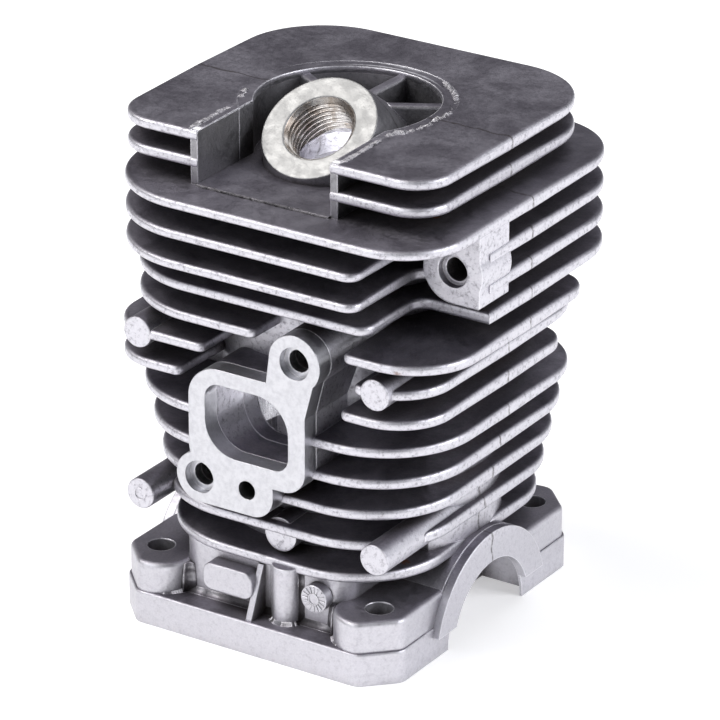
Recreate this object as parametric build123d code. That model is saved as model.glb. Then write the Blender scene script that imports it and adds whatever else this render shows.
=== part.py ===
# Air-cooled two-stroke cylinder, die cast in one with its head and the upper half of the crankcase.
# Millimetres. The origin is where the bore axis meets the crankcase split face.
# +Z runs up the bore, +X along the crankshaft, -Y towards the intake, +Y towards the exhaust.
# The dies part on the plane y = 0, so every fin is thickest there and thins towards -Y and +Y.
# The casting is one piece of metal. It is divided here into its named regions, which meet face to face.
from math import cos, radians, sin, sqrt, tan
import os

from build123d import *

os.makedirs("parts", exist_ok=True)

# Bore and combustion chamber
bore_d = 41.0
plating_t = 0.3
barrel_wall_t = 4.0
bore_foot_z = 17.5
bore_top_z = 77.5
chamber_bulge = 1.0
dome_wall_t = 4.5

# Crank chamber, main bearing seats (6202, 35 x 11 mm) and the lips that hold the 28 mm shaft seals
chamber_r = 27.5
chamber_half_width = 16.0
piston_entry_gap = 0.4
crankcase_wall_t = 3.6
crankcase_top_z = 18.8
crankcase_corner_r = 5.0
bearing_d = 35.0
bearing_width = 11.0
bearing_inner_x = 21.0
bearing_housing_wall_t = 2.8
seal_d = 28.0
seal_lip_t = 2.0
seal_lip_foot_z = 5.0
shaft_clearance_r = 12.5

# Base flange and its four bolt pads
base_half_x = 32.6
base_half_y = 37.2
base_flange_z = 7.0
base_corner_cut = 6.5
base_corner_r = 3.0
base_edge_round = 0.5
pad_top_z = 13.5
pad_step = 0.35
pad_edge_round = 1.0
pad_inner_x = 17.4
pad_inner_corner_r = 6.8
crankcase_bolt_x = 25.85
crankcase_bolt_y = 28.6
crankcase_bolt_d = 5.6

# Cooling fins, numbered from the top
fin_seam_t = 2.9
fin_draft = 0.75
fin_edge_round = 0.8
deck_over_bore = 25.85
foot_fin_z = 19.0
top_fin_pitch = 5.55
middle_fin_pitch = 6.25
top_fin_count = 2
middle_fin_count = 7
lower_fin_count = 5
wide_fin_right = 42.1
common_fin_right = 37.3
common_fin_left = 35.7
lower_fin_step = 1.7
deck_front = 29.6
deck_back = 36.4
shroud_fin_front = 38.3
shroud_fin_back = 40.0
common_fin_front = 33.2
common_fin_back = 35.5
short_fin_back = 23.5
foot_fin_front = 32.6

# Spark plug seat, M14 x 1.25 with a 9.5 mm reach, leaning towards the intake side
plug_tilt = 36.7
plug_cross_over_bore = 11.0
plug_seat_reach = 16.9
plug_seat_d = 23.6
plug_boss_foot_d = 33.0
plug_boss_length = 15.0
plug_thread_minor_d = 12.8
plug_thread_outer_d = 14.6
plug_thread_length = 9.5
plug_mouth_d = 15.0
plug_mouth_depth = 1.1

# Open well around the plug, and the slot that lets the plug boot in from the front
well_r = 18.4
well_wall_t = 3.1
well_lip_round = 1.2
slot_half_width = 15.2
slot_wall_t = 1.6
slot_floor_front_y = -30.0
well_rib_t = 2.3
well_rib_round = 0.7
well_rib_angles = {"well_rib_right": 30.0, "well_rib_rear": 88.0, "well_rib_left": 150.0}
well_rib_drop = 0.9

# Intake port and its flange
intake_face_y = -36.0
intake_flange_t = 4.0
intake_under_bore_top = 29.1
intake_width = 19.4
intake_height = 15.0
intake_tight_r = 3.4
intake_wide_r = 7.3
intake_land_side = 3.8
intake_land_top = 3.2
intake_land_bottom = 4.0
intake_screw_x = 11.2
intake_screw_z = 14.75
intake_screw_over_port = 1.45
intake_screw_d = 4.6
intake_screw_counterbore_d = 6.7
intake_screw_counterbore_depth = 1.8
intake_screw_depth = 13.0
intake_upper_lobe_r = 5.8
intake_lower_lobe_r = 5.3
impulse_hole_d = 3.9
impulse_hole_depth = 9.0
valley_limits = {7: (0.5, 20.6), 8: (-12.0, 22.4), 9: (-17.6, 19.4)}
valley_end_y = -8.0

# Exhaust port and its flange
exhaust_face_y = 41.0
exhaust_flange_t = 5.0
exhaust_under_bore_top = 16.45
exhaust_width = 25.0
exhaust_height = 12.5
exhaust_corner_r = 4.5
exhaust_land = 3.6
exhaust_screw_x = 20.0
exhaust_screw_d = 5.0
exhaust_screw_depth = 16.0
exhaust_lobe_r = 6.2

# Closed transfer channels, one on each side
transfer_half_y = 11.0
transfer_gap = 3.4
transfer_cover_t = 2.6
transfer_foot_z = 21.5
transfer_under_bore_top = 20.5
transfer_window_h = 9.0
transfer_window_half_y = 9.0

# Shroud screw boss, in a recess of the three fins under the widest one
recess_x = 26.2
recess_y = -15.2
recess_corner_r = 3.0
shroud_face_y = -18.6
shroud_boss_depth = 10.5
shroud_screw_x = 35.8
shroud_screw_drop = 9.05
shroud_boss_r = 6.6
shroud_screw_d = 4.8
shroud_counterbore_d = 6.5
shroud_counterbore_depth = 1.6
shroud_screw_depth = 8.5

# Ejector stubs, round bars along Y that stand proud of the fins
stub_d = 6.4
stub_face_y = -33.2
stub_x = 27.5
stub_end_round = 0.3
stub_fins = {"upper": 8, "lower": 13}

# Small features on the front wall of the crankcase
front_wall_y = -31.2
label_pad_width = 11.6
label_pad_height = 5.8
label_pad_x = -5.8
label_pad_z = 13.3
label_pad_proud = 3.6
label_pad_corner_r = 2.0
label_pad_edge_round = 0.35
dial_d = 5.8
dial_x = 13.8
dial_z = 14.2
dial_proud = 2.3
ridge_x = 3.3
ridge_t = 0.9
ridge_proud = 0.8
gusset_x = 1.6
gusset_t = 1.3
gusset_foot = 5.2
column_x = 6.2
column_r = 3.1
lug_x = 3.9
lug_r = 3.6
lug_drop = 1.85
lug_face_y = -30.2

# Values that follow from the sizes above
bore_r = bore_d / 2
plating_r = bore_r + plating_t
barrel_r = plating_r + barrel_wall_t
chamber_sphere_r = bore_r + chamber_bulge
sphere_centre_z = bore_top_z - sqrt(chamber_sphere_r**2 - bore_r**2)
dome_outer_r = chamber_sphere_r + dome_wall_t
bearing_seat_r = bearing_d / 2
bearing_housing_r = bearing_seat_r + bearing_housing_wall_t
bearing_outer_x = bearing_inner_x + bearing_width
fin_count = top_fin_count + middle_fin_count + lower_fin_count
first_wide_fin = top_fin_count + 1
deck_middle_z = bore_top_z + deck_over_bore
widest_fin_z = deck_middle_z - top_fin_count * top_fin_pitch
last_middle_fin_z = widest_fin_z - (middle_fin_count - 1) * middle_fin_pitch
lower_fin_pitch = (last_middle_fin_z - foot_fin_z) / lower_fin_count
plug_axis_cross_z = bore_top_z + plug_cross_over_bore
intake_centre_z = bore_top_z - intake_under_bore_top
intake_screw_middle_z = intake_centre_z + intake_screw_over_port
exhaust_centre_z = bore_top_z - exhaust_under_bore_top
transfer_top_z = bore_top_z - transfer_under_bore_top
shroud_screw_z = widest_fin_z - shroud_screw_drop
recessed_fins = range(first_wide_fin + 1, first_wide_fin + 4)
well_outer_r = well_r + well_wall_t
slot_outer = slot_half_width + slot_wall_t
far = 200.0
plug_lean = radians(plug_tilt)
plug_direction = Vector(0, -sin(plug_lean), cos(plug_lean))
plug_seat_centre = Vector(0, 0, plug_axis_cross_z) + plug_direction * plug_seat_reach
plug_frame = Plane(origin=plug_seat_centre, x_dir=(1, 0, 0), z_dir=plug_direction)
exhaust_top_z = exhaust_centre_z + exhaust_height / 2 + exhaust_land
exhaust_bottom_z = exhaust_centre_z - exhaust_height / 2 - exhaust_land


def block(x_low, x_high, y_low, y_high, z_low, z_high):
    """Box between two corners."""
    size = Box(x_high - x_low, y_high - y_low, z_high - z_low)
    return Pos((x_low + x_high) / 2, (y_low + y_high) / 2, (z_low + z_high) / 2) * size


def post(radius, z_low, z_high, x=0.0, y=0.0):
    """Upright cylinder."""
    return Pos(x, y, (z_low + z_high) / 2) * Cylinder(radius, z_high - z_low)


def bar_along_y(radius, x, z, y_low, y_high):
    """Cylinder that runs front to back."""
    return Pos(x, (y_low + y_high) / 2, z) * Rot(90, 0, 0) * Cylinder(radius, y_high - y_low)


def bar_along_x(radius, x_low, x_high):
    """Cylinder about the crank axis."""
    return Pos((x_low + x_high) / 2, 0, 0) * Rot(0, 90, 0) * Cylinder(radius, x_high - x_low)


def rounded_rectangle(low_u, high_u, low_v, high_v, radii):
    """Flat rectangle with its own radius at low-low, high-low, high-high and low-high."""
    corners = [(low_u, low_v), (high_u, low_v), (high_u, high_v), (low_u, high_v)]
    face = Pos((low_u + high_u) / 2, (low_v + high_v) / 2) * Rectangle(high_u - low_u, high_v - low_v)
    for corner, radius in zip(corners, radii):
        vertex = face.vertices().sort_by_distance((corner[0], corner[1], 0))[0]
        face = fillet(vertex, radius)
    return face


def round_vertices(face, points, radius):
    """Round the vertices of a flat outline that lie nearest to the given points."""
    for point in points:
        vertex = face.vertices().sort_by_distance((point[0], point[1], 0))[0]
        face = fillet(vertex, radius)
    return face


def front_facing(face, y_low, y_high):
    """Extrude an outline drawn as (x, z) from y_low to y_high."""
    frame = Plane(origin=(0, y_high, 0), x_dir=(1, 0, 0), z_dir=(0, -1, 0))
    return extrude(frame * face, amount=y_high - y_low)


# ---- Hollow spaces -------------------------------------------------------------------------------


def bore_space():
    cylinder = post(bore_r, -1.0, bore_top_z)
    sphere = Pos(0, 0, sphere_centre_z) * Sphere(chamber_sphere_r)
    cap = sphere & block(-far, far, -far, far, bore_top_z - 0.01, far)
    return cylinder + cap


def crank_space():
    web_pocket = bar_along_x(chamber_r, -chamber_half_width, chamber_half_width)
    piston_entry = post(bore_r + piston_entry_gap, -1.0, bore_foot_z)
    return web_pocket + piston_entry


def bearing_space(side):
    seat = bar_along_x(bearing_seat_r, bearing_inner_x, bearing_outer_x)
    shaft = bar_along_x(shaft_clearance_r, 0, bearing_outer_x)
    seal = bar_along_x(seal_d / 2, bearing_outer_x - 1.0, far)
    space = seat + shaft + seal
    return space if side > 0 else mirror(space, about=Plane.YZ)


def intake_opening():
    half_w = intake_width / 2
    low_z = intake_centre_z - intake_height / 2
    high_z = intake_centre_z + intake_height / 2
    radii = (intake_wide_r, intake_tight_r, intake_wide_r, intake_tight_r)
    return rounded_rectangle(-half_w, half_w, low_z, high_z, radii)


def intake_space():
    return front_facing(intake_opening(), intake_face_y - 1.0, 0)


def exhaust_space():
    half_w = exhaust_width / 2
    low_z = exhaust_centre_z - exhaust_height / 2
    high_z = exhaust_centre_z + exhaust_height / 2
    opening = rounded_rectangle(-half_w, half_w, low_z, high_z, [exhaust_corner_r] * 4)
    return front_facing(opening, 0, exhaust_face_y + 1.0)


def transfer_channel(side):
    ring = post(barrel_r + transfer_gap, transfer_foot_z, transfer_top_z)
    ring = ring - post(barrel_r, transfer_foot_z, transfer_top_z)
    ring = ring & block(0, far, -transfer_half_y, transfer_half_y, transfer_foot_z, transfer_top_z)
    return ring if side > 0 else mirror(ring, about=Plane.YZ)


def transfer_windows(side):
    reach = barrel_r + transfer_gap / 2
    y = transfer_window_half_y
    upper = block(bore_r / 2, reach, -y, y, transfer_top_z - transfer_window_h, transfer_top_z)
    lower = block(bore_r / 2, reach, -y, y, transfer_foot_z, transfer_foot_z + transfer_window_h)
    windows = upper + lower
    return windows if side > 0 else mirror(windows, about=Plane.YZ)


def plug_hole():
    length = plug_boss_length + plug_seat_reach
    hole = plug_frame * Pos(0, 0, -length / 2 + 1.0) * Cylinder(plug_thread_minor_d / 2, length)
    mouth = Cone(plug_thread_minor_d / 2, plug_mouth_d / 2, plug_mouth_depth)
    return hole + plug_frame * Pos(0, 0, -plug_mouth_depth / 2) * mouth


def plug_pocket():
    """Wider end of the plug hole, from the last thread turn into the chamber."""
    depth = plug_thread_length + plug_seat_reach
    pocket = Cylinder(plug_thread_outer_d / 2, depth)
    return plug_frame * Pos(0, 0, -plug_thread_length - depth / 2) * pocket


def crankcase_bolt_holes():
    holes = []
    for x in (-crankcase_bolt_x, crankcase_bolt_x):
        for y in (-crankcase_bolt_y, crankcase_bolt_y):
            holes.append(post(crankcase_bolt_d / 2, -1.0, pad_top_z + 1.0, x, y))
    return holes


def intake_screw_places():
    return [
        (intake_screw_x, intake_screw_middle_z + intake_screw_z),
        (-intake_screw_x, intake_screw_middle_z - intake_screw_z),
    ]


def intake_screw_holes():
    holes = []
    for x, z in intake_screw_places():
        hole = bar_along_y(intake_screw_d / 2, x, z, intake_face_y - 1.0, intake_face_y + intake_screw_depth)
        mouth_end = intake_face_y + intake_screw_counterbore_depth
        mouth = bar_along_y(intake_screw_counterbore_d / 2, x, z, intake_face_y - 1.0, mouth_end)
        holes.append(hole + mouth)
    impulse_z = intake_screw_middle_z - intake_screw_z
    impulse_end = intake_face_y + impulse_hole_depth
    holes.append(bar_along_y(impulse_hole_d / 2, 0, impulse_z, intake_face_y - 1.0, impulse_end))
    return holes


def exhaust_screw_holes():
    start = exhaust_face_y - exhaust_screw_depth
    holes = []
    for x in (-exhaust_screw_x, exhaust_screw_x):
        holes.append(bar_along_y(exhaust_screw_d / 2, x, exhaust_centre_z, start, exhaust_face_y + 1.0))
    return holes


def shroud_screw_hole():
    start = shroud_face_y - 1.0
    end = shroud_face_y + shroud_screw_depth
    hole = bar_along_y(shroud_screw_d / 2, shroud_screw_x, shroud_screw_z, start, end)
    mouth_end = shroud_face_y + shroud_counterbore_depth
    mouth = bar_along_y(shroud_counterbore_d / 2, shroud_screw_x, shroud_screw_z, start, mouth_end)
    return hole + mouth


# ---- Regions of the casting ----------------------------------------------------------------------


def bore_plating():
    return post(plating_r, bore_foot_z, bore_top_z)


def barrel_wall():
    return post(barrel_r, bore_foot_z, bore_top_z)


def combustion_dome():
    sphere = Pos(0, 0, sphere_centre_z) * Sphere(dome_outer_r)
    return sphere & post(barrel_r, bore_top_z, far)


def plug_thread():
    ring = Cylinder(plug_thread_outer_d / 2, plug_thread_length)
    return plug_frame * Pos(0, 0, -plug_thread_length / 2) * ring


def spark_plug_boss():
    cone = Cone(plug_boss_foot_d / 2, plug_seat_d / 2, plug_boss_length)
    return plug_frame * Pos(0, 0, -plug_boss_length / 2) * cone


def fin_middle_z(number):
    steps_top = min(number - 1, top_fin_count)
    steps_middle = min(max(number - 1 - top_fin_count, 0), middle_fin_count - 1)
    steps_lower = max(number - top_fin_count - middle_fin_count, 0)
    drop = steps_top * top_fin_pitch + steps_middle * middle_fin_pitch + steps_lower * lower_fin_pitch
    return deck_middle_z - drop


def fin_half_t(y):
    return fin_seam_t / 2 - abs(y) * tan(radians(fin_draft))


def well_wall():
    floor_z = fin_middle_z(first_wide_fin)
    top_z = fin_middle_z(1) + fin_seam_t / 2 - 0.3
    ring = post(well_outer_r, floor_z, top_z) - post(well_r, floor_z, top_z)
    lip = [edge for edge in ring.edges().filter_by(GeomType.CIRCLE) if is_well_lip(edge, top_z)]
    ring = fillet(lip, well_lip_round)
    slot = block(-slot_half_width, slot_half_width, -far, 0, floor_z - 1.0, top_z + 1.0)
    return ring - slot


def is_well_lip(edge, top_z):
    return abs(edge.center().Z - top_z) < 0.01 and abs(edge.radius - well_r) < 0.01


def slot_floor():
    """Flat floor between the slot walls, a step above the drafted fin below it."""
    z = fin_middle_z(first_wide_fin)
    return block(-slot_half_width, slot_half_width, slot_floor_front_y, 0, z, z + fin_half_t(0))


def slot_wall(side):
    floor_z = fin_middle_z(first_wide_fin)
    top_z = fin_middle_z(1) + fin_half_t(deck_front)
    x_low, x_high = sorted((side * slot_half_width, side * slot_outer))
    wall = block(x_low, x_high, -deck_front + 0.3, 0, floor_z, top_z)
    return wall - post(well_r, floor_z - 1.0, top_z + 1.0)


def well_rib(angle):
    floor_z = fin_middle_z(first_wide_fin)
    top_z = fin_middle_z(1) + fin_seam_t / 2 - well_rib_drop
    rib = block(0, well_r + 0.5, -well_rib_t / 2, well_rib_t / 2, floor_z, top_z)
    crest = rib.edges().filter_by(Axis.X).group_by(Axis.Z)[-1]
    return Rot(0, 0, angle) * fillet(crest, well_rib_round)


def fin_outline(number):
    """Outline of one fin seen from above, before the core of the casting is taken out."""
    left = common_fin_left
    right = common_fin_right
    front = common_fin_front
    back = common_fin_back
    front_radii = (10.5, 12.0)
    back_radii = (18.0, 18.0)
    if number <= top_fin_count:
        front = deck_front
        back = deck_back
        front_radii = (9.0, 8.0)
    elif number <= first_wide_fin + 4:
        right = wide_fin_right
        front = shroud_fin_front if number <= first_wide_fin + 2 else common_fin_front + 0.8
        back = shroud_fin_back
        front_radii = (20.0, 14.0)
    elif number > top_fin_count + middle_fin_count:
        steps = number - top_fin_count - middle_fin_count - 1
        right = common_fin_right - lower_fin_step * steps
        left = common_fin_left - lower_fin_step * steps
        front = common_fin_front - 0.4 * steps
        front_radii = (20.5, 19.5)
        if number == fin_count:
            front = foot_fin_front
    if number in (first_wide_fin + 4, top_fin_count + middle_fin_count):
        back = short_fin_back
        back_radii = (7.0, 7.0)
    radii = front_radii + back_radii
    outline = rounded_rectangle(-left, right, -front, back, radii)
    if number in recessed_fins:
        cut = rounded_rectangle(recess_x, far, -far, recess_y, (0.5, 0.5, 0.5, recess_corner_r))
        outline = outline - cut
        outline = round_vertices(outline, [(recess_x, -front)], recess_corner_r)
    if number in valley_limits:
        x_low, x_high = valley_limits[number]
        cut = Pos((x_low + x_high) / 2, valley_end_y - far / 2) * Rectangle(x_high - x_low, far)
        outline = outline - cut
        outline = round_vertices(outline, [(x_low, -front), (x_high, -front)], 1.6)
    return outline


def cooling_fin(number):
    """Fin plate that thins away from the parting plane, with a rounded rim."""
    outline = fin_outline(number)
    z = fin_middle_z(number)
    reach = shroud_fin_back + 5.0
    profile = Polygon(
        (-reach, -fin_half_t(reach)),
        (0, -fin_half_t(0)),
        (reach, -fin_half_t(reach)),
        (reach, fin_half_t(reach)),
        (0, fin_half_t(0)),
        (-reach, fin_half_t(reach)),
        align=None,
    )
    wedge_frame = Plane(origin=(-far / 2, 0, 0), x_dir=(0, 1, 0), z_dir=(1, 0, 0))
    wedge = extrude(wedge_frame * profile, amount=far)
    plate = extrude(outline, amount=fin_seam_t, both=True) & wedge
    rim = [edge for edge in plate.edges() if not is_upright(edge) and not is_seam_line(edge)]
    plate = fillet(rim, fin_edge_round)
    return Pos(0, 0, z) * plate


def is_upright(edge):
    start = edge.start_point()
    end = edge.end_point()
    return abs(start.X - end.X) < 0.01 and abs(start.Y - end.Y) < 0.01


def is_seam_line(edge):
    return abs(edge.start_point().Y) < 0.01 and abs(edge.end_point().Y) < 0.01


def intake_flange_outline():
    half_w = intake_width / 2 + intake_land_side
    low_z = intake_centre_z - intake_height / 2 - intake_land_bottom
    high_z = intake_centre_z + intake_height / 2 + intake_land_top
    (upper_x, upper_z), (lower_x, lower_z) = intake_screw_places()
    body = rounded_rectangle(-half_w, half_w, low_z, high_z, (5.0, 5.0, 4.0, 7.0))
    upper_lobe = Pos(upper_x, upper_z) * Circle(intake_upper_lobe_r)
    upper_neck = Polygon(
        (upper_x - 6.8, high_z - 2.0),
        (half_w - 0.8, intake_centre_z + 2.0),
        (upper_x + intake_upper_lobe_r * 0.72, upper_z - intake_upper_lobe_r * 0.7),
        (upper_x - intake_upper_lobe_r, upper_z),
        align=None,
    )
    foot = rounded_rectangle(
        lower_x, 6.0, lower_z - intake_lower_lobe_r, low_z + 4.0, (0.5, 4.8, 0.5, 0.5)
    )
    lower_lobe = Pos(lower_x, lower_z) * Circle(intake_lower_lobe_r)
    return body + upper_lobe + upper_neck + foot + lower_lobe


def intake_flange():
    return front_facing(intake_flange_outline(), intake_face_y, intake_face_y + intake_flange_t)


def intake_duct():
    return front_facing(intake_flange_outline(), intake_face_y + intake_flange_t, 0)


def exhaust_flange_outline():
    half_w = exhaust_width / 2 + exhaust_land
    body = rounded_rectangle(-half_w, half_w, exhaust_bottom_z, exhaust_top_z, [4.0] * 4)
    bar = Pos(0, exhaust_centre_z) * Rectangle(2 * exhaust_screw_x, 2 * exhaust_lobe_r)
    outline = body + bar
    for x in (-exhaust_screw_x, exhaust_screw_x):
        outline = outline + Pos(x, exhaust_centre_z) * Circle(exhaust_lobe_r)
    return outline


def exhaust_flange():
    return front_facing(exhaust_flange_outline(), exhaust_face_y - exhaust_flange_t, exhaust_face_y)


def exhaust_duct():
    return front_facing(exhaust_flange_outline(), 0, exhaust_face_y - exhaust_flange_t)


def transfer_cover(side):
    outer_r = barrel_r + transfer_gap + transfer_cover_t
    half_y = transfer_half_y + transfer_cover_t
    top_z = transfer_top_z + transfer_cover_t
    cover = post(outer_r, crankcase_top_z, top_z) & block(0, far, -half_y, half_y, 0, far)
    return cover if side > 0 else mirror(cover, about=Plane.YZ)


def bearing_housing(side):
    housing = bar_along_x(bearing_housing_r, chamber_half_width, bearing_outer_x)
    housing = housing & block(0, far, -far, far, 0, far)
    return housing if side > 0 else mirror(housing, about=Plane.YZ)


def seal_lip(side):
    lip = bar_along_x(bearing_housing_r, bearing_outer_x, bearing_outer_x + seal_lip_t)
    lip = lip & block(0, far, -far, far, seal_lip_foot_z, far)
    return lip if side > 0 else mirror(lip, about=Plane.YZ)


def crankcase_wall():
    half_x = chamber_half_width + crankcase_wall_t
    half_y = -front_wall_y
    outline = rounded_rectangle(-half_x, half_x, -half_y, half_y, [crankcase_corner_r] * 4)
    return extrude(outline + Circle(barrel_r), amount=crankcase_top_z)


def base_outline():
    outline = Rectangle(2 * base_half_x, 2 * base_half_y)
    outline = chamfer(outline.vertices(), base_corner_cut)
    return fillet(outline.vertices(), base_corner_r)


def base_flange():
    plate = extrude(base_outline(), amount=base_flange_z)
    return fillet(plate.edges().group_by(Axis.Z)[-1], base_edge_round)


def pad_outline():
    """One bolt pad seen from above, a small step inside the flange."""
    side = base_half_x - pad_step
    front = -base_half_y + pad_step
    outline = Polygon(
        (pad_inner_x, 0),
        (pad_inner_x, front),
        (side - base_corner_cut, front),
        (side, front + base_corner_cut),
        (side, 0),
        align=None,
    )
    outline = round_vertices(outline, [(pad_inner_x, front)], pad_inner_corner_r)
    outer_corners = [(side - base_corner_cut, front), (side, front + base_corner_cut)]
    return round_vertices(outline, outer_corners, base_corner_r)


def bolt_pad(side_x, side_y):
    pad = extrude(pad_outline(), amount=pad_top_z)
    top_edges = pad.edges().group_by(Axis.Z)[-1]
    pad = fillet([edge for edge in top_edges if edge.center().Y < -1.0], pad_edge_round)
    pad = pad - block(-far, far, -far, far, -1.0, base_flange_z)
    pad = pad - bar_along_x(bearing_housing_r, 0, far)
    if side_x < 0:
        pad = mirror(pad, about=Plane.YZ)
    if side_y > 0:
        pad = mirror(pad, about=Plane.XZ)
    return pad


def ejector_stub(x, z):
    bar = bar_along_y(stub_d / 2, x, z, stub_face_y, 0)
    return fillet(bar.edges().group_by(Axis.Y)[0], stub_end_round)


def shroud_screw_boss():
    low_z = shroud_screw_z - shroud_boss_r
    high_z = fin_middle_z(first_wide_fin)
    right = wide_fin_right - 0.3
    outline = Pos(shroud_screw_x, shroud_screw_z) * Circle(shroud_boss_r)
    outline = outline + rounded_rectangle(shroud_screw_x, right, low_z, high_z, [0.4] * 4)
    upper = rounded_rectangle(shroud_screw_x - shroud_boss_r, right, shroud_screw_z, high_z, [0.4] * 4)
    outline = outline + upper
    return front_facing(outline, shroud_face_y, shroud_face_y + shroud_boss_depth)


def label_pad():
    low_x = label_pad_x - label_pad_width / 2
    low_z = label_pad_z - label_pad_height / 2
    outline = rounded_rectangle(
        low_x, low_x + label_pad_width, low_z, low_z + label_pad_height, [label_pad_corner_r] * 4
    )
    pad = front_facing(outline, front_wall_y - label_pad_proud, front_wall_y)
    return fillet(pad.edges().group_by(Axis.Y)[0], label_pad_edge_round)


def date_dial():
    return bar_along_y(dial_d / 2, dial_x, dial_z, front_wall_y - dial_proud, front_wall_y)


def gusset_rib():
    top_z = fin_middle_z(fin_count) - fin_half_t(0)
    profile = Polygon(
        (front_wall_y, base_flange_z),
        (front_wall_y - gusset_foot, base_flange_z),
        (front_wall_y - 0.6, top_z),
        (front_wall_y, top_z),
        align=None,
    )
    frame = Plane(origin=(gusset_x - gusset_t / 2, 0, 0), x_dir=(0, 1, 0), z_dir=(1, 0, 0))
    return extrude(frame * profile, amount=gusset_t)


def front_column():
    top_z = fin_middle_z(fin_count)
    return post(column_r, base_flange_z, top_z, column_x, front_wall_y)


def front_ridge():
    """Low upright ridge between the gusset and the column."""
    left = ridge_x - ridge_t / 2
    top_z = fin_middle_z(fin_count)
    return block(left, left + ridge_t, front_wall_y - ridge_proud, front_wall_y, base_flange_z, top_z)


def fin_lug():
    above = fin_middle_z(fin_count - 1)
    return bar_along_y(lug_r, lug_x, above - lug_drop, lug_face_y, 0)


# ---- Assembly ------------------------------------------------------------------------------------

hollow = [
    bore_space(),
    crank_space(),
    bearing_space(1),
    bearing_space(-1),
    intake_space(),
    exhaust_space(),
    transfer_channel(1),
    transfer_channel(-1),
    transfer_windows(1),
    transfer_windows(-1),
    plug_hole(),
    plug_pocket(),
    shroud_screw_hole(),
]
hollow += crankcase_bolt_holes() + intake_screw_holes() + exhaust_screw_holes()
regions = {}


def boxes_touch(first, second):
    a = first.bounding_box()
    b = second.bounding_box()
    pairs = ((a.min.X, a.max.X, b.min.X, b.max.X), (a.min.Y, a.max.Y, b.min.Y, b.max.Y),
             (a.min.Z, a.max.Z, b.min.Z, b.max.Z))
    return all(a_low <= b_high and b_low <= a_high for a_low, a_high, b_low, b_high in pairs)


def claim(name, shape):
    """Keep what earlier regions and the hollow spaces leave of this one, and write it."""
    for space in hollow:
        if boxes_touch(shape, space):
            shape = shape - space
    for other in regions.values():
        if boxes_touch(shape, other):
            shape = shape - other
    solids = [solid for solid in shape.solids() if solid.volume > 1.0]
    regions[name] = solids[0] if len(solids) == 1 else Compound(children=solids)
    export_step(regions[name], f"parts/{name}.step")
    print(name, len(solids), round(sum(solid.volume for solid in solids), 1))


claim("bore_plating", bore_plating())
claim("barrel_wall", barrel_wall())
claim("combustion_dome", combustion_dome())
claim("plug_thread", plug_thread())
claim("spark_plug_boss", spark_plug_boss())
claim("plug_well_wall", well_wall())
for rib_name, rib_angle in well_rib_angles.items():
    claim(rib_name, well_rib(rib_angle))
claim("slot_wall_right", slot_wall(1))
claim("slot_wall_left", slot_wall(-1))
claim("slot_floor", slot_floor())
claim("intake_flange", intake_flange())
claim("intake_duct", intake_duct())
claim("exhaust_flange", exhaust_flange())
claim("exhaust_duct", exhaust_duct())
claim("crankcase_wall", crankcase_wall())
for side_name, side in (("right", 1), ("left", -1)):
    claim(f"bearing_housing_{side_name}", bearing_housing(side))
    claim(f"seal_lip_{side_name}", seal_lip(side))
for side_name, side in (("right", 1), ("left", -1)):
    claim(f"transfer_cover_{side_name}", transfer_cover(side))
claim("base_flange", base_flange())
for end_name, end in (("front", -1), ("rear", 1)):
    for side_name, side in (("right", 1), ("left", -1)):
        claim(f"bolt_pad_{end_name}_{side_name}", bolt_pad(side, end))
claim("shroud_screw_boss", shroud_screw_boss())
for level_name, stub_fin in stub_fins.items():
    for side_name, side in (("right", 1), ("left", -1)):
        claim(f"ejector_stub_{level_name}_{side_name}", ejector_stub(side * stub_x, fin_middle_z(stub_fin)))
claim("label_pad", label_pad())
claim("date_dial", date_dial())
claim("gusset_rib", gusset_rib())
claim("front_column", front_column())
claim("front_ridge", front_ridge())
claim("fin_lug", fin_lug())
well_air = post(well_r, 0, far) - post(well_r, 0, fin_middle_z(first_wide_fin) + fin_half_t(0))
slot_air = block(-slot_half_width, slot_half_width, -far, 0, fin_middle_z(2) - 3.0, far)
hollow += [well_air, slot_air]
for fin_number in range(1, fin_count + 1):
    claim(f"fin_{fin_number:02d}", cooling_fin(fin_number))
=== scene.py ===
import math
import random

import bmesh
import bpy
from mathutils import Matrix, Vector


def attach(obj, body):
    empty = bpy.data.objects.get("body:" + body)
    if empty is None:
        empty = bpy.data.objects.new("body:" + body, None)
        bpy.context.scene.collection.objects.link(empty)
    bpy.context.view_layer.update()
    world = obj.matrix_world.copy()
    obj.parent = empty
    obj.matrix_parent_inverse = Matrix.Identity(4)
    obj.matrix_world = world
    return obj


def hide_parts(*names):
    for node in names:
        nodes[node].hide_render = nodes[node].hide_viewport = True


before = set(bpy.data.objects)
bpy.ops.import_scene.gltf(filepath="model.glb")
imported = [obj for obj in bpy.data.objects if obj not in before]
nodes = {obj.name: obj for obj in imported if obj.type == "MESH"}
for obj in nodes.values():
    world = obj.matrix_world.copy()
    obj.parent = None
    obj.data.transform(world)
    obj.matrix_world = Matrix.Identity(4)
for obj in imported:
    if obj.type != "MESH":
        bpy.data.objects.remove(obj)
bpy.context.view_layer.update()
mm = 0.001
print("frame loaded:", len(nodes), "nodes")


# camera, floor and light

studio = {
    "cameraPlace": (0.4904, -0.7508, 0.4486),
    "cameraTarget": (0.00281, 0.0, 0.05003),
    "lens": 247.5,
    "sensor": 36.0,
    "floorSize": 6.0,
    "skyColor": (0.84, 0.86, 0.95),
    "skyStrength": 0.13,
    "floorGlow": 0.42,
    "floorTones": ((0.90, 0.90, 0.90), (0.94, 0.94, 0.94)),
    "floorPatch": 0.6,
    "floorRough": 0.9,
    "lightTarget": (0.0, 0.0, 0.05),
}

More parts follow.
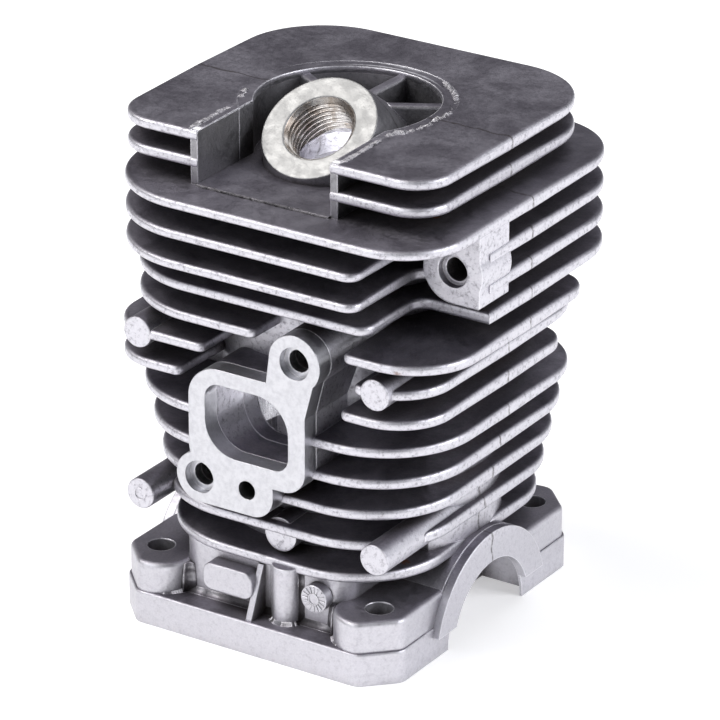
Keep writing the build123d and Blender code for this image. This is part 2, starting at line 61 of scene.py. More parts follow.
softboxes = {
    "keyAboveLeft": {
        "place": (-0.75, -0.45, 1.25),
        "size": (0.9, 0.9),
        "watts": 16.0,
        "color": (1.0, 0.98, 0.95),
    },
    "frontFill": {
        "place": (-0.35, -1.5, 0.75),
        "size": (1.2, 0.8),
        "watts": 8.0,
        "color": (0.97, 0.98, 1.0),
    },
    "rightSide": {
        "place": (1.45, 0.35, 0.8),
        "size": (0.9, 0.9),
        "watts": 17.0,
        "color": (0.96, 0.97, 1.0),
    },
    "topBack": {
        "place": (0.1, 0.9, 1.5),
        "size": (1.4, 0.8),
        "watts": 6.0,
        "color": (1.0, 1.0, 1.0),
    },
}
boreLamp = {"place": (0.0, 0.0, 0.012), "size": 0.03, "watts": 0.013}


def aimAt(thing, target):
    direction = Vector(target) - thing.location
    thing.rotation_euler = direction.to_track_quat("-Z", "Y").to_euler()


def addCamera():
    lens = bpy.data.cameras.new("camera")
    lens.sensor_width = studio["sensor"]
    lens.lens = studio["lens"]
    lens.clip_start = 0.05
    lens.clip_end = 20.0
    camera = bpy.data.objects.new("camera", lens)
    camera.location = studio["cameraPlace"]
    bpy.context.scene.collection.objects.link(camera)
    aimAt(camera, studio["cameraTarget"])
    bpy.context.scene.camera = camera


def addSoftbox(name, box):
    light = bpy.data.lights.new(name, "AREA")
    light.shape = "RECTANGLE"
    light.size, light.size_y = box["size"]
    light.energy = box["watts"]
    light.color = box["color"]
    lamp = bpy.data.objects.new(name, light)
    lamp.location = box["place"]
    bpy.context.scene.collection.objects.link(lamp)
    aimAt(lamp, studio["lightTarget"])


def addBoreLamp():
    light = bpy.data.lights.new("boreLamp", "AREA")
    light.shape = "DISK"
    light.size = boreLamp["size"]
    light.energy = boreLamp["watts"]
    lamp = bpy.data.objects.new("boreLamp", light)
    lamp.location = boreLamp["place"]
    lamp.rotation_euler = (math.pi, 0.0, 0.0)
    lamp.visible_camera = False
    bpy.context.scene.collection.objects.link(lamp)


def addFloor():
    mesh = bpy.data.meshes.new("floor")
    shape = bmesh.new()
    bmesh.ops.create_grid(shape, x_segments=1, y_segments=1, size=studio["floorSize"] / 2)
    shape.to_mesh(mesh)
    shape.free()
    floor = bpy.data.objects.new("floor", mesh)
    bpy.context.scene.collection.objects.link(floor)
    return floor


def setSky():
    world = bpy.data.worlds.new("sky")
    world.use_nodes = True
    sky = world.node_tree.nodes["Background"]
    sky.inputs["Color"].default_value = (*studio["skyColor"], 1.0)
    sky.inputs["Strength"].default_value = studio["skyStrength"]
    bpy.context.scene.world = world
    bpy.context.scene.view_settings.view_transform = "Standard"


addCamera()
setSky()
for boxName, box in softboxes.items():
    addSoftbox(boxName, box)
addBoreLamp()
floor = addFloor()
print("studio ready")


# small helpers for shader trees

def addNode(tree, kind, sockets=None, **settings):
    made = tree.nodes.new("ShaderNode" + kind)
    for name, value in settings.items():
        setattr(made, name, value)
    for name, value in (sockets or {}).items():
        if isinstance(value, bpy.types.NodeSocket):
            tree.links.new(value, made.inputs[name])
        else:
            made.inputs[name].default_value = value
    return made


def math1(tree, operation, first, second=0.0, clamp=False):
    return addNode(tree, "Math", {0: first, 1: second}, operation=operation, use_clamp=clamp).outputs[0]


def fade(tree, value, low, high, start=0.0, end=1.0):
    sockets = {"Value": value, "From Min": low, "From Max": high, "To Min": start, "To Max": end}
    made = addNode(tree, "MapRange", sockets, interpolation_type="SMOOTHSTEP")
    return made.outputs["Result"]


def speckle(tree, place, size, detail=2.0, rough=0.5, twist=0.0):
    sockets = {"Vector": place, "Scale": 1.0 / size, "Detail": detail}
    sockets.update({"Roughness": rough, "Distortion": twist})
    return addNode(tree, "TexNoise", sockets).outputs["Fac"]


def blend(tree, amount, first, second, kind="MIX"):
    made = addNode(tree, "Mix", data_type="RGBA", blend_type=kind)
    for slot, value in ((0, amount), (6, first), (7, second)):
        if isinstance(value, bpy.types.NodeSocket):
            tree.links.new(value, made.inputs[slot])
        elif slot == 0:
            made.inputs[slot].default_value = value
        else:
            made.inputs[slot].default_value = (*value, 1.0)
    return made.outputs[2]


def newMaterial(name, metal=1.0):
    material = bpy.data.materials.new(name)
    material.use_nodes = True
    tree = material.node_tree
    shader = tree.nodes["Principled BSDF"]
    shader.inputs["Metallic"].default_value = metal
    return material, tree, shader


def objectPlace(tree):
    return addNode(tree, "TexCoord").outputs["Object"]


def split(tree, vector):
    return addNode(tree, "SeparateXYZ", {0: vector}).outputs


def stretched(tree, place, scale, turn=(0.0, 0.0, 0.0), shift=(0.0, 0.0, 0.0)):
    sockets = {"Vector": place, "Scale": scale, "Rotation": turn, "Location": shift}
    return addNode(tree, "Mapping", sockets).outputs["Vector"]


def edgeMask(tree, radius):
    rounded = addNode(tree, "Bevel", {"Radius": radius}, samples=6).outputs["Normal"]
    flat = addNode(tree, "NewGeometry").outputs["Normal"]
    same = addNode(tree, "VectorMath", {0: rounded, 1: flat}, operation="DOT_PRODUCT").outputs["Value"]
    return rounded, math1(tree, "SUBTRACT", 1.0, same)


def openness(tree, distance):
    return addNode(tree, "AmbientOcclusion", {"Distance": distance}, samples=8).outputs["AO"]


def bumped(tree, height, depth, strength, normal):
    sockets = {"Distance": depth, "Height": height, "Strength": strength, "Normal": normal}
    return addNode(tree, "Bump", sockets).outputs["Normal"]


# floor paint

def floorMaterial():
    material, tree, shader = newMaterial("floorPaint", 0.0)
    shade = speckle(tree, objectPlace(tree), studio["floorPatch"])
    tone = blend(tree, shade, *studio["floorTones"])
    tree.links.new(tone, shader.inputs["Base Color"])
    shader.inputs["Roughness"].default_value = studio["floorRough"]
    shader.inputs["Emission Color"].default_value = (1.0, 1.0, 1.0, 1.0)
    shader.inputs["Emission Strength"].default_value = studio["floorGlow"]
    return material


floor.data.materials.append(floorMaterial())


# cast aluminium: dark skin with painted shade on flat faces, pale sides with painted reflection, bright
# rubbed rims with a painted highlight, dirt with painted shade in the corners

castLook = {
    # flat-face tones: cast skin with painted shade, much darker than the sides
    "darkSkinAndShade": (0.160, 0.150, 0.178),
    "paleSkinAndShade": (0.300, 0.286, 0.328),
    # side tones, also the one near the foot: cast skin with painted reflection, paler than the flat
    # faces
    "sideSkinAndSheen": (0.66, 0.65, 0.70),
    "sideScuff": (0.38, 0.37, 0.41),
    "footSideAndSheen": (0.60, 0.59, 0.635),
    # edge tone: painted highlight on the rims, together with rubbed wear
    "rubbedEdgeHighlight": (0.90, 0.89, 0.94),
    # dark tone for dirt, also used as painted shade in corners and for the seam line
    "dirtAndShade": (0.048, 0.037, 0.031),
    "dirtShadeReach": 0.006,
    "shadeReach": 0.018,
    "edgeRadius": 0.00045,
    "roughLow": 0.36,
    "roughHigh": 0.60,
    "grainSize": 0.0004,
    "grainDepth": 0.00005,
    "rippleSize": 0.003,
    "rippleDepth": 0.00016,
    "footTop": 0.0165,
    "footBlend": 0.004,
    "padTop": 0.013,
    "padBlend": 0.002,
    "splitFace": (0.55, 0.55, 0.58),
    "splitTop": 0.0001,
    "splitBlend": 0.0002,
    "blotchSize": 0.011,
    "streakSize": 0.003,
    "scuffSize": 0.0010,
    "grainMix": 0.25,
    "flatRough": 0.10,
    "grimeRough": 0.25,
    "wanderSize": 0.004,
    "seamDepth": 0.0002,
    "seamMix": 0.75,
    "seamHalf": 0.00011,
    "seamWander": 0.0005,
    "rust": (0.19, 0.075, 0.028),
    "rustSize": 0.0075,
}


def castMaterial(name, look):
    material, tree, shader = newMaterial(name)
    place = objectPlace(tree)
    across = split(tree, place)
    normal = addNode(tree, "TexCoord").outputs["Normal"]
    upward = math1(tree, "ABSOLUTE", split(tree, normal)["Z"])
    flatFace = fade(tree, upward, 0.55, 0.97)
    rounded, edge = edgeMask(tree, look["edgeRadius"])
    blotch = speckle(tree, place, look["blotchSize"], 4.0, 0.62, 0.5)
    alongY = stretched(tree, place, (1.0, 0.25, 1.0))
    streak = speckle(tree, alongY, look["streakSize"], 4.0, 0.65, 0.4)
    grain = speckle(tree, place, look["grainSize"], 3.0, 0.65)
    scuff = speckle(tree, place, look["scuffSize"], 6.0, 0.78, 0.15)
    nearOpen = openness(tree, look["dirtShadeReach"])
    farOpen = openness(tree, look["shadeReach"])
    flatSkinAndShade = blend(tree, fade(tree, blotch, 0.32, 0.70), look["darkSkinAndShade"], look["paleSkinAndShade"])
    flatSkinAndShade = blend(tree, fade(tree, streak, 0.5, 0.8, 0.0, 0.35), flatSkinAndShade, look["paleSkinAndShade"])
    foot = fade(tree, across["Z"], look["footTop"], look["footTop"] + look["footBlend"], 1.0, 0.0)
    padTop = fade(tree, across["Z"], look["padTop"] - look["padBlend"], look["padTop"], 0.0, 0.8)
    flatSkinAndShade = blend(tree, math1(tree, "MULTIPLY", foot, padTop), flatSkinAndShade, look["paleSkinAndShade"])
    side = blend(tree, foot, look["sideSkinAndSheen"], look["footSideAndSheen"])
    wear = fade(tree, scuff, 0.50, 0.66)
    wear = math1(tree, "MULTIPLY", wear, fade(tree, foot, 0.0, 1.0, 1.0, 0.25))
    side = blend(tree, wear, side, look["sideScuff"])
    # flat faces take the dark tones and sides the pale ones: painted shade and painted reflection by
    # which way a face points
    body = blend(tree, flatFace, side, flatSkinAndShade)
    splitEnd = look["splitTop"] + look["splitBlend"]
    onSplit = fade(tree, across["Z"], look["splitTop"], splitEnd, 1.0, 0.0)
    body = blend(tree, onSplit, body, look["splitFace"])
    # painted highlight along the edges, broken up by wear
    rubbedHighlight = fade(tree, edge, 0.01, 0.12)
    rubbedHighlight = math1(tree, "MULTIPLY", rubbedHighlight, fade(tree, scuff, 0.25, 0.5, 0.3, 1.0))
    body = blend(tree, rubbedHighlight, body, look["rubbedEdgeHighlight"])
    grainTone = addNode(tree, "ValToRGB", {0: grain}).outputs["Color"]
    body = blend(tree, look["grainMix"], body, grainTone, "OVERLAY")
    shade = fade(tree, farOpen, 0.05, 0.50, 0.85, 1.0)
    shade = addNode(tree, "CombineColor", {0: shade, 1: shade, 2: shade}).outputs[0]
    body = blend(tree, 1.0, body, shade, "MULTIPLY")
    # dirt with painted shade where nearby surfaces close in
    grimeAndShade = fade(tree, nearOpen, 0.15, 0.62, 0.9, 0.0)
    grimeAndShade = math1(tree, "MULTIPLY", grimeAndShade, fade(tree, blotch, 0.3, 0.6, 0.45, 1.0))
    body = blend(tree, grimeAndShade, body, look["dirtAndShade"])
    wander = speckle(tree, place, look["wanderSize"], 2.0)
    offset = fade(tree, wander, 0.2, 0.8, -look["seamWander"], look["seamWander"])
    fromSeam = math1(tree, "ABSOLUTE", math1(tree, "ADD", across["Y"], offset))
    seam = fade(tree, fromSeam, look["seamHalf"], look["seamHalf"] * 3.5, 1.0, 0.0)
    seam = math1(tree, "MULTIPLY", seam, fade(tree, scuff, 0.35, 0.55, 0.25, 0.9))
    seam = math1(tree, "MULTIPLY", seam, fade(tree, farOpen, 0.3, 0.6))
    body = blend(tree, math1(tree, "MULTIPLY", seam, look["seamMix"]), body, look["dirtAndShade"])
    rustSpot = fade(tree, speckle(tree, place, look["rustSize"], 1.0), 0.80, 0.86)
    rustSpot = math1(tree, "MULTIPLY", rustSpot, fade(tree, scuff, 0.42, 0.55))
    body = blend(tree, rustSpot, body, look["rust"])
    tree.links.new(body, shader.inputs["Base Color"])
    rough = fade(tree, scuff, 0.3, 0.75, look["roughLow"], look["roughHigh"])
    rough = math1(tree, "ADD", rough, math1(tree, "MULTIPLY", flatFace, look["flatRough"]))
    rough = math1(tree, "ADD", rough, math1(tree, "MULTIPLY", grimeAndShade, look["grimeRough"]), True)
    tree.links.new(rough, shader.inputs["Roughness"])
    ripple = speckle(tree, place, look["rippleSize"], 2.0)
    surface = bumped(tree, ripple, look["rippleDepth"], 0.8, rounded)
    surface = bumped(tree, grain, look["grainDepth"], 0.9, surface)
    surface = bumped(tree, seam, look["seamDepth"], -0.8, surface)
    tree.links.new(surface, shader.inputs["Normal"])
    return material


# milled and turned faces

machinedLook = {
    "bright": (0.63, 0.63, 0.665),
    "dull": (0.55, 0.55, 0.585),
    "edgeRadius": 0.0003,
    # dark tone for dirt, also used as painted shade in corners
    "dirtAndShade": (0.05, 0.046, 0.042),
    "dirtShadeReach": 0.005,
    "mottleSize": 0.0011,
    "lineSize": 0.0003,
    "lineDepth": 0.00002,
    "grainSize": 0.0005,
    "grainDepth": 0.00003,
}


def machinedMaterial(name, look):
    material, tree, shader = newMaterial(name)
    place = objectPlace(tree)
    rounded, edge = edgeMask(tree, look["edgeRadius"])
    mottle = speckle(tree, place, look["mottleSize"], 5.0, 0.72, 0.2)
    cutWay = stretched(tree, place, (0.12, 1.0, 1.0), (0.0, 0.6, 0.0))
    lines = speckle(tree, cutWay, look["lineSize"], 2.0)
    grain = speckle(tree, place, look["grainSize"], 3.0, 0.6)
    tone = blend(tree, fade(tree, mottle, 0.35, 0.7), look["bright"], look["dull"])
    tone = blend(tree, fade(tree, lines, 0.55, 0.75, 0.0, 0.25), tone, look["dull"])
    # painted highlight along the edges
    tone = blend(tree, fade(tree, edge, 0.02, 0.2), tone, look["bright"])
    # dirt with painted shade in corners
    grimeAndShade = fade(tree, openness(tree, look["dirtShadeReach"]), 0.15, 0.55, 0.8, 0.0)
    tone = blend(tree, grimeAndShade, tone, look["dirtAndShade"])
    tree.links.new(tone, shader.inputs["Base Color"])
    tree.links.new(fade(tree, mottle, 0.3, 0.7, 0.32, 0.48), shader.inputs["Roughness"])
    surface = bumped(tree, grain, look["grainDepth"], 0.7, rounded)
    surface = bumped(tree, lines, look["lineDepth"], 0.5, surface)
    tree.links.new(surface, shader.inputs["Normal"])
    return material


# the spark plug's seat, turned on the boss, and the frame of its axis

plug = {
    "seat": (0.0, -10.0999 * mm, 102.0502 * mm),
    "lean": math.radians(36.7),
    "outerRadius": 7.29 * mm,
    "majorRadius": 7.02 * mm,
    "minorRadius": 6.4 * mm,
    "pitch": 1.25 * mm,
    "length": 9.5 * mm,
    "mouthRadius": 7.5 * mm,
    "thinnest": 0.05 * mm,
    "rootHalf": 0.06,
    "flankPart": 0.36,
    "rowsPerPitch": 20,
    "steps": 144,
}


def plugMatrix():
    return Matrix.Translation(plug["seat"]) @ Matrix.Rotation(plug["lean"], 4, "X")


def plugPlace(tree):
    inverse = plugMatrix().inverted()
    unturned = (1.0, 1.0, 1.0)
    return stretched(tree, objectPlace(tree), unturned, inverse.to_euler(), inverse.to_translation())


seatLook = {
    "bright": (0.337, 0.337, 0.338),
    "dull": (0.320, 0.320, 0.322),
    "ringTone": (0.28, 0.28, 0.28),
    "ringPitch": 0.00022,
    "ringMix": 0.14,
    "mottleSize": 0.0024,
    "below": -0.00025,
    "above": -0.0001,
}


def seatMaterial(castName, look):
    material = castMaterial(castName, look)
    tree = material.node_tree
    shader = tree.nodes["Principled BSDF"]
    local = split(tree, plugPlace(tree))
    onSeat = fade(tree, local["Z"], seatLook["below"], seatLook["above"])
    flatLocal = addNode(tree, "CombineXYZ", {0: local["X"], 1: local["Y"]}).outputs[0]
    radial = addNode(tree, "VectorMath", {0: flatLocal}, operation="LENGTH").outputs["Value"]
    turns = math1(tree, "MULTIPLY", radial, 2.0 * math.pi / seatLook["ringPitch"])
    rings = math1(tree, "SINE", turns)
    mottle = speckle(tree, objectPlace(tree), seatLook["mottleSize"], 4.0, 0.6)
    tone = blend(tree, fade(tree, mottle, 0.3, 0.72), seatLook["bright"], seatLook["dull"])
    ringMix = fade(tree, rings, -1.0, 1.0, 0.0, seatLook["ringMix"])
    tone = blend(tree, ringMix, tone, seatLook["ringTone"])
    castTone = shader.inputs["Base Color"].links[0].from_socket
    tree.links.new(blend(tree, onSeat, castTone, tone), shader.inputs["Base Color"])
    castRough = shader.inputs["Roughness"].links[0].from_socket
    rough = fade(tree, mottle, 0.3, 0.7, 0.42, 0.55)
    keep = math1(tree, "MULTIPLY", castRough, math1(tree, "SUBTRACT", 1.0, onSeat))
    rough = math1(tree, "ADD", keep, math1(tree, "MULTIPLY", rough, onSeat))
    tree.links.new(rough, shader.inputs["Roughness"])
    return material


threadLook = {
    "bright": (0.60, 0.575, 0.555),
    "stained": (0.36, 0.31, 0.27),
    "stainSize": 0.003,
    "fineSize": 0.0003,
    "fineDepth": 0.00001,
}


def threadMaterial():
    material, tree, shader = newMaterial("cutThread")
    place = objectPlace(tree)
    stain = speckle(tree, place, threadLook["stainSize"], 3.0, 0.6)
    fine = speckle(tree, place, threadLook["fineSize"], 2.0)
    tone = blend(tree, fade(tree, stain, 0.35, 0.65), threadLook["bright"], threadLook["stained"])
    tree.links.new(tone, shader.inputs["Base Color"])
    tree.links.new(fade(tree, fine, 0.3, 0.7, 0.24, 0.40), shader.inputs["Roughness"])
    smooth = addNode(tree, "NewGeometry").outputs["Normal"]
    surface = bumped(tree, fine, threadLook["fineDepth"], 0.5, smooth)
    tree.links.new(surface, shader.inputs["Normal"])
    return material


platingLook = {
    "radius": 0.0205,
    "dull": (0.62, 0.62, 0.64),
    "bright": (0.84, 0.84, 0.86),
    "scratchSize": 0.00016,
    "scratchDepth": 0.00001,
    "scratchStretch": (1.0, 0.04, 1.0),
    "scratchLean": 0.9,
}


def scratches(tree, place, lean):
    leaning = stretched(tree, place, platingLook["scratchStretch"], (0.0, 0.0, lean))
    return speckle(tree, leaning, platingLook["scratchSize"], 2.0)


def platingMaterial():
    material, tree, shader = newMaterial("honedPlating")
    place = objectPlace(tree)
    across = split(tree, place)
    angle = math1(tree, "ARCTAN2", across["Y"], across["X"])
    turn = math1(tree, "MULTIPLY", angle, platingLook["radius"])
    rising = addNode(tree, "CombineXYZ", {0: turn, 1: across["Z"]}).outputs[0]
    oneWay = scratches(tree, rising, platingLook["scratchLean"])
    otherWay = scratches(tree, rising, -platingLook["scratchLean"])
    hone = math1(tree, "MAXIMUM", oneWay, otherWay)
    tone = blend(tree, fade(tree, hone, 0.45, 0.8), platingLook["dull"], platingLook["bright"])
    tree.links.new(tone, shader.inputs["Base Color"])
    tree.links.new(fade(tree, hone, 0.4, 0.8, 0.2, 0.36), shader.inputs["Roughness"])
    smooth = addNode(tree, "NewGeometry").outputs["Normal"]
    surface = bumped(tree, hone, platingLook["scratchDepth"], 0.5, smooth)
    tree.links.new(surface, shader.inputs["Normal"])
    return material


castSkin = castMaterial("castAluminium", castLook)
# darker copy for the well, ribs and slot walls: painted shade in the recess
wellShadeLook = {
    **castLook,
    "sideSkinAndSheen": (0.32, 0.315, 0.335),
    "sideScuff": (0.22, 0.215, 0.23),
}
wellShadeSkin = castMaterial("castWellShade", wellShadeLook)
# darker copy for the fillets: painted shade in the corners, with dirt
cornerShadeLook = {
    **castLook,
    "sideSkinAndSheen": (0.36, 0.35, 0.375),
    "footSideAndSheen": (0.36, 0.35, 0.375),
    "dirtShadeReach": 0.012,
}
cornerShadeSkin = castMaterial("castCornerShade", cornerShadeLook)
flashLook = {
    **castLook,
    "rubbedEdgeHighlight": (0.62, 0.61, 0.64),
    "sideSkinAndSheen": (0.30, 0.29, 0.31),
    "grainDepth": 0.00014,
}
flashSkin = castMaterial("castFlash", flashLook)
lineLook = {
    **flashLook,
    "rubbedEdgeHighlight": (0.16, 0.155, 0.165),
    "sideSkinAndSheen": (0.05, 0.048, 0.05),
}
lineSkin = castMaterial("castDieLine", lineLook)
machined = machinedMaterial("machinedFace", machinedLook)
plugSeat = seatMaterial("plugSeat", wellShadeLook)
cutThread = threadMaterial()
honed = platingMaterial()

finishes = {
    "intake_flange": machined,
    "exhaust_flange": machined,
    "spark_plug_boss": plugSeat,
    "plug_thread": cutThread,
    "bore_plating": honed,
}
for name in nodes:
    if name.startswith(("plug_well", "well_rib", "slot_")):
        finishes[name] = wellShadeSkin
# darker edge tone: less painted highlight on the slot floor's edge
slotFloorLook = {**wellShadeLook, "rubbedEdgeHighlight": (0.20, 0.19, 0.205)}
finishes["slot_floor"] = castMaterial("castSlotFloor", slotFloorLook)
for name, node in nodes.items():
    node.data.materials.clear()
    node.data.materials.append(finishes.get(name, castSkin))
print("metal finishes given")


# pieces added to the casting

def addPiece(name, shape, material, smooth=False):
    bmesh.ops.recalc_face_normals(shape, faces=shape.faces)
    for face in shape.faces:
        face.smooth = smooth
    mesh = bpy.data.meshes.new(name)
    shape.to_mesh(mesh)
    shape.free()
    mesh.materials.append(material)
    piece = bpy.data.objects.new(name, mesh)
    bpy.context.scene.collection.objects.link(piece)
    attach(piece, "root")
    return piece


def threadRadius(angle, depth):
    phase = (depth / plug["pitch"] - angle / (2.0 * math.pi)) % 1.0
    flank = min(1.0, max(0.0, (abs(phase - 0.5) - plug["rootHalf"]) / plug["flankPart"]))
    flank = flank * flank * (3.0 - 2.0 * flank)
    cut = plug["majorRadius"] + (plug["minorRadius"] - plug["majorRadius"]) * flank
    mouth = plug["mouthRadius"] + depth
    return min(plug["outerRadius"] - plug["thinnest"], max(cut, mouth))


def makeThread():
    shape = bmesh.new()
    top = plug["outerRadius"] - plug["mouthRadius"]
    corners = [
        shape.verts.new((radius, 0.0, depth))
        for radius, depth in (
            (plug["minorRadius"], -plug["length"]),
            (plug["minorRadius"], top),
            (plug["outerRadius"], top),
            (plug["outerRadius"], -plug["length"]),
        )
    ]
    sides = [shape.edges.new((corners[i], corners[(i + 1) % 4])) for i in range(4)]
    rows = round(plug["length"] / plug["pitch"] * plug["rowsPerPitch"])
    bmesh.ops.subdivide_edges(shape, edges=[sides[0]], cuts=rows)
    bmesh.ops.spin(
        shape,
        geom=shape.verts[:] + shape.edges[:],
        cent=(0.0, 0.0, 0.0),
        axis=(0.0, 0.0, 1.0),
        angle=2.0 * math.pi,
        steps=plug["steps"],
        use_merge=True,
    )
    bmesh.ops.remove_doubles(shape, verts=shape.verts, dist=0.000001)
    for vert in shape.verts:
        reach = math.hypot(vert.co.x, vert.co.y)
        if reach < plug["outerRadius"] - 2.0 * plug["thinnest"]:
            wanted = threadRadius(math.atan2(vert.co.y, vert.co.x), vert.co.z)
            vert.co.x *= wanted / reach
            vert.co.y *= wanted / reach
    bmesh.ops.transform(shape, matrix=plugMatrix(), verts=shape.verts)
    return shape


plugThread = addPiece("plugThread", makeThread(), cutThread, True)
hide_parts("plug_thread")
print("thread cut")


# a strip of one cross section, carried along a row of stations

upright = (0.0, 0.0, 1.0)
forward = (0.0, -1.0, 0.0)
sideways = (1.0, 0.0, 0.0)


def station(place, outward, upward):
    return Vector(place) * mm, Vector(outward).normalized(), Vector(upward).normalized()


def sectionPoint(spot, side, rise):
    place, outward, upward = spot
    return place + outward * side * mm + upward * rise * mm


def carryAlong(stations, sections):
    shape = bmesh.new()
    corners = [shape.verts.new(sectionPoint(stations[0], *pair)) for pair in sections[0]]
    end = shape.faces.new(corners)
    for spot, section in zip(stations[1:], sections[1:]):
        grown = bmesh.ops.extrude_face_region(shape, geom=[end])["geom"]
        end = [item for item in grown if isinstance(item, bmesh.types.BMFace)][0]
        for loop, pair in zip(end.loops, section):
            loop.vert.co = sectionPoint(spot, *pair)
    return shape


def arcStations(centre, radius, height, fromAngle, toAngle, count):
    spots = []
    for i in range(count + 1):
        angle = math.radians(fromAngle + (toAngle - fromAngle) * i / count)
        outward = (math.cos(angle), math.sin(angle), 0.0)
        place = (centre[0] + radius * outward[0], centre[1] + radius * outward[1], height)
        spots.append(station(place, outward, upright))
    return spots


def lineStations(start, finish, outward, upward, count):
    first, last = Vector(start), Vector(finish)
    return [station(first.lerp(last, i / count), outward, upward) for i in range(count + 1)]


# ragged flash that the dies left around the well and on the slot

flash = {
    "wellRadius": 20.9,
    "deckTop": 104.5,
    "slotLift": 0.02,
    "sink": 0.5,
    "halfWidth": 1.0,
    "height": 0.55,
    "wellArcs": {"wellFlashRight": (-40.0, 62.0, 110), "wellFlashLeft": (-168.0, -146.0, 26)},
    "slotEdges": {
        "slotFlashLeft": (-17.3, -29.0, -12.5, 60),
        "slotFlashRight": (16.9, -28.8, -13.5, 50),
    },
    "wellExtraHeight": 0.25,
    "floorLineY": -29.95,
    "floorLineZ": 93.45,
    "floorReach": 15.0,
    "floorSteps": 110,
    "floorHeight": 0.34,
    "floorHalfWidth": 0.4,
    "crestStep": 0.34,
    "leanStep": 0.45,
    "endSteps": 6.0,
    "wellSeed": 3,
    "slotSeed": 11,
    "floorSeed": 23,
}


def raggedSections(count, halfWidth, height, seed):
    dice = random.Random(seed)
    sections = []
    crest = 0.4
    lean = 0.0
    for i in range(count):
        crest = min(1.0, max(0.03, crest + dice.uniform(-flash["crestStep"], flash["crestStep"])))
        lean = min(0.8, max(-0.8, lean + dice.uniform(-flash["leanStep"], flash["leanStep"])))
        ends = min(1.0, i / flash["endSteps"], (count - 1 - i) / flash["endSteps"])
        wide = halfWidth * (0.55 + 0.45 * dice.random()) * max(0.15, ends)
        tall = height * crest * ends
        low = -flash["sink"]
        sections.append([
            (-wide, low),
            (-wide * 0.9, tall * 0.15 - 0.03),
            (wide * (lean - 0.25), tall),
            (wide * (lean + 0.15), tall * dice.uniform(0.5, 1.0)),
            (wide * 0.9, tall * 0.1 - 0.03),
            (wide, low),
        ])
    return sections


def addFlash(name, spots, halfWidth, height, seed, material):
    sections = raggedSections(len(spots), halfWidth, height, seed)
    return addPiece(name, carryAlong(spots, sections), material)


wellHeight = flash["height"] + flash["wellExtraHeight"]
for seed, (name, (fromAngle, toAngle, count)) in enumerate(flash["wellArcs"].items()):
    spots = arcStations((0.0, 0.0), flash["wellRadius"], flash["deckTop"], fromAngle, toAngle, count)
    addFlash(name, spots, flash["halfWidth"], wellHeight, seed + flash["wellSeed"], flashSkin)
for seed, (name, (x, front, rear, count)) in enumerate(flash["slotEdges"].items()):
    height = flash["deckTop"] + flash["slotLift"]
    spots = lineStations((x, front, height), (x, rear, height), sideways, upright, count)
    addFlash(name, spots, flash["halfWidth"], flash["height"], seed + flash["slotSeed"], flashSkin)
lineLeft = (-flash["floorReach"], flash["floorLineY"], flash["floorLineZ"])
lineRight = (flash["floorReach"], flash["floorLineY"], flash["floorLineZ"])
spots = lineStations(lineLeft, lineRight, forward, upright, flash["floorSteps"])
addFlash(
    "slotFloorFlash",
    spots,
    flash["floorHalfWidth"],
    flash["floorHeight"],
    flash["floorSeed"],
    lineSkin,
)
print("flash laid")


# hollow fillets where the bolt pads, the wall and the small bosses meet

cove = {
    "ledge": 7.0,
    "wallY": -31.2,
    "padX": 17.4,
    "padCorner": 6.8,
    "padCentreY": -30.05,
    "padTop": 13.0,
    "column": (6.2, 3.1),
    "steps": 6,
    "buried": 0.3,
    "padFoot": 1.0,
    "padFootLoss": 0.8,
    "padTurn": 58.0,
    "padTurnSteps": 14,
    "padWall": (1.9, 1.9, 1.8, 1.6, 1.2),
    "wallFoot": 1.2,
    "wallFootSteps": 8,
    "columnFoot": 0.7,
    "columnFootSteps": 24,
    "columnWall": 0.9,
    "columnTop": 17.6,
    "columnSteps": 4,
}


def coveSection(size):
    points = [(-cove["buried"], -cove["buried"]), (-cove["buried"], size)]
    for i in range(cove["steps"] + 1):
        angle = 0.5 * math.pi * i / cove["steps"]
        points.append((size - size * math.cos(angle), size - size * math.sin(angle)))
    points.append((size, -cove["buried"]))
    return points


def addCove(name, spots, sizes):
    sections = [coveSection(size) for size in sizes]
    return addPiece(name, carryAlong(spots, sections), cornerShadeSkin, True)


def addUprightCove(name, x, top, side, sizes):
    low = (x, cove["wallY"], cove["ledge"])
    high = (x, cove["wallY"], top)
    spots = lineStations(low, high, (side, 0.0, 0.0), forward, len(sizes) - 1)
    addCove(name, spots, sizes)


turnSteps = cove["padTurnSteps"]
turnSizes = [cove["padFoot"] - cove["padFootLoss"] * i / turnSteps for i in range(turnSteps + 1)]
for sideName, side in (("Right", 1.0), ("Left", -1.0)):
    edgeX = side * cove["padX"]
    centreX = edgeX + side * cove["padCorner"]
    start = 180.0 if side > 0 else 0.0
    finish = start + side * cove["padTurn"]
    rear = (edgeX, cove["wallY"] + cove["buried"], cove["ledge"])
    front = (edgeX, cove["padCentreY"], cove["ledge"])
    inner = lineStations(rear, front, (-side, 0.0, 0.0), upright, 2)[:2]
    centre = (centreX, cove["padCentreY"])
    corner = arcStations(centre, cove["padCorner"], cove["ledge"], start, finish, turnSteps)
    addCove("padFootCove" + sideName, inner + corner, [cove["padFoot"]] * 2 + turnSizes)
    addUprightCove("padWallCove" + sideName, edgeX, cove["padTop"], -side, cove["padWall"])
footLeft = (-cove["padX"], cove["wallY"], cove["ledge"])
footRight = (cove["padX"], cove["wallY"], cove["ledge"])
wallFoot = lineStations(footLeft, footRight, forward, upright, cove["wallFootSteps"])
addCove("wallFootCove", wallFoot, [cove["wallFoot"]] * len(wallFoot))
columnX, columnRadius = cove["column"]
columnCentre = (columnX, cove["wallY"])
columnSteps = cove["columnFootSteps"]
columnFoot = arcStations(columnCentre, columnRadius, cove["ledge"], -180.0, 0.0, columnSteps)
addCove("columnFootCove", columnFoot, [cove["columnFoot"]] * len(columnFoot))
columnSizes = [cove["columnWall"]] * (cove["columnSteps"] + 1)
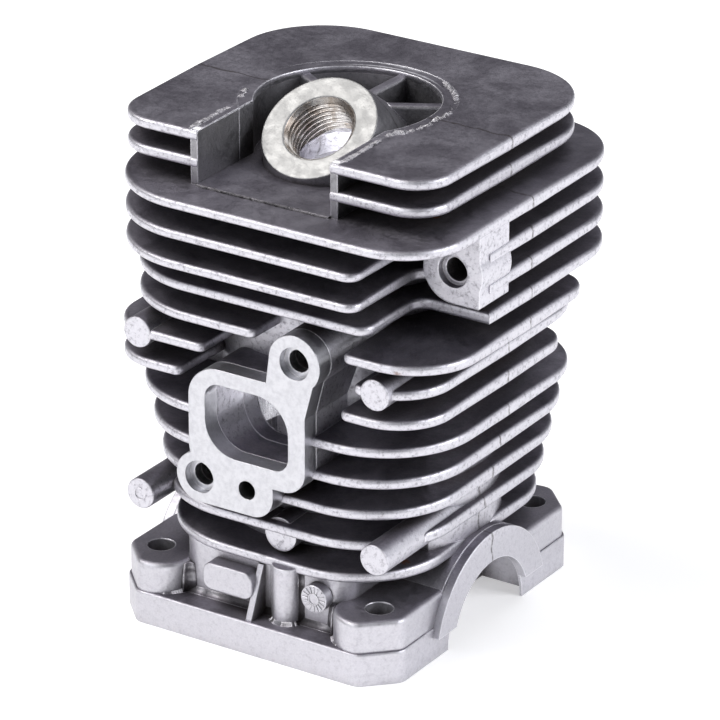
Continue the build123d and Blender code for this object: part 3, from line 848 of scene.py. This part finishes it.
for sideName, side in (("Left", -1.0), ("Right", 1.0)):
    cornerX = columnX + side * columnRadius
    addUprightCove("columnWallCove" + sideName, cornerX, cove["columnTop"], side, columnSizes)
print("fillets laid")


# raised marks: sixteen strokes and a ring on the dial, an open ring on a stub

marks = {
    "dial": (13.8, -33.5, 14.2),
    "strokes": 16,
    "strokeFrom": 1.35,
    "strokeTo": 2.65,
    "strokeWidth": 0.3,
    "proud": 0.16,
    "ringRadius": 1.15,
    "ringWidth": 0.22,
    "stub": (-27.5, -33.2, 26.15),
    "stubRing": 1.25,
    "stubSweep": 290.0,
    "sunk": 0.2,
    "dialSteps": 40,
    "stubSteps": 32,
}


def ringOnFace(centre, radius, width, proud, sweep, steps):
    shape = bmesh.new()
    low, high = radius - width / 2.0, radius + width / 2.0
    outline = ((low, marks["sunk"]), (low, -proud), (high, -proud), (high, marks["sunk"]))
    corners = [shape.verts.new((x * mm, y * mm, 0.0)) for x, y in outline]
    face = shape.faces.new(corners)
    whole = sweep > 359.0
    bmesh.ops.spin(
        shape,
        geom=corners + face.edges[:] + ([] if whole else [face]),
        cent=(0.0, 0.0, 0.0),
        axis=(0.0, 1.0, 0.0),
        angle=math.radians(sweep),
        steps=steps,
        use_merge=whole,
    )
    if whole:
        bmesh.ops.delete(shape, geom=[face], context="FACES_ONLY")
    bmesh.ops.translate(shape, verts=shape.verts, vec=Vector(centre) * mm)
    return shape


def makeStrokes():
    shape = bmesh.new()
    length = marks["strokeTo"] - marks["strokeFrom"]
    middle = (marks["strokeTo"] + marks["strokeFrom"]) / 2.0
    size = Matrix.Diagonal((length * mm, 2.0 * marks["proud"] * mm, marks["strokeWidth"] * mm, 1.0))
    centre = Matrix.Translation(Vector(marks["dial"]) * mm)
    for i in range(marks["strokes"]):
        turn = Matrix.Rotation(2.0 * math.pi * i / marks["strokes"], 4, "Y")
        place = centre @ turn @ Matrix.Translation((middle * mm, 0.0, 0.0))
        bmesh.ops.create_cube(shape, size=1.0, matrix=place @ size)
    return shape


addPiece("dialStrokes", makeStrokes(), castSkin)
width, proud = marks["ringWidth"], marks["proud"]
dialRing = ringOnFace(marks["dial"], marks["ringRadius"], width, proud, 360.0, marks["dialSteps"])
addPiece("dialRing", dialRing, castSkin)
stubRing = ringOnFace(
    marks["stub"],
    marks["stubRing"],
    width,
    proud,
    marks["stubSweep"],
    marks["stubSteps"],
)
addPiece("stubRing", stubRing, castSkin)
print("marks raised")
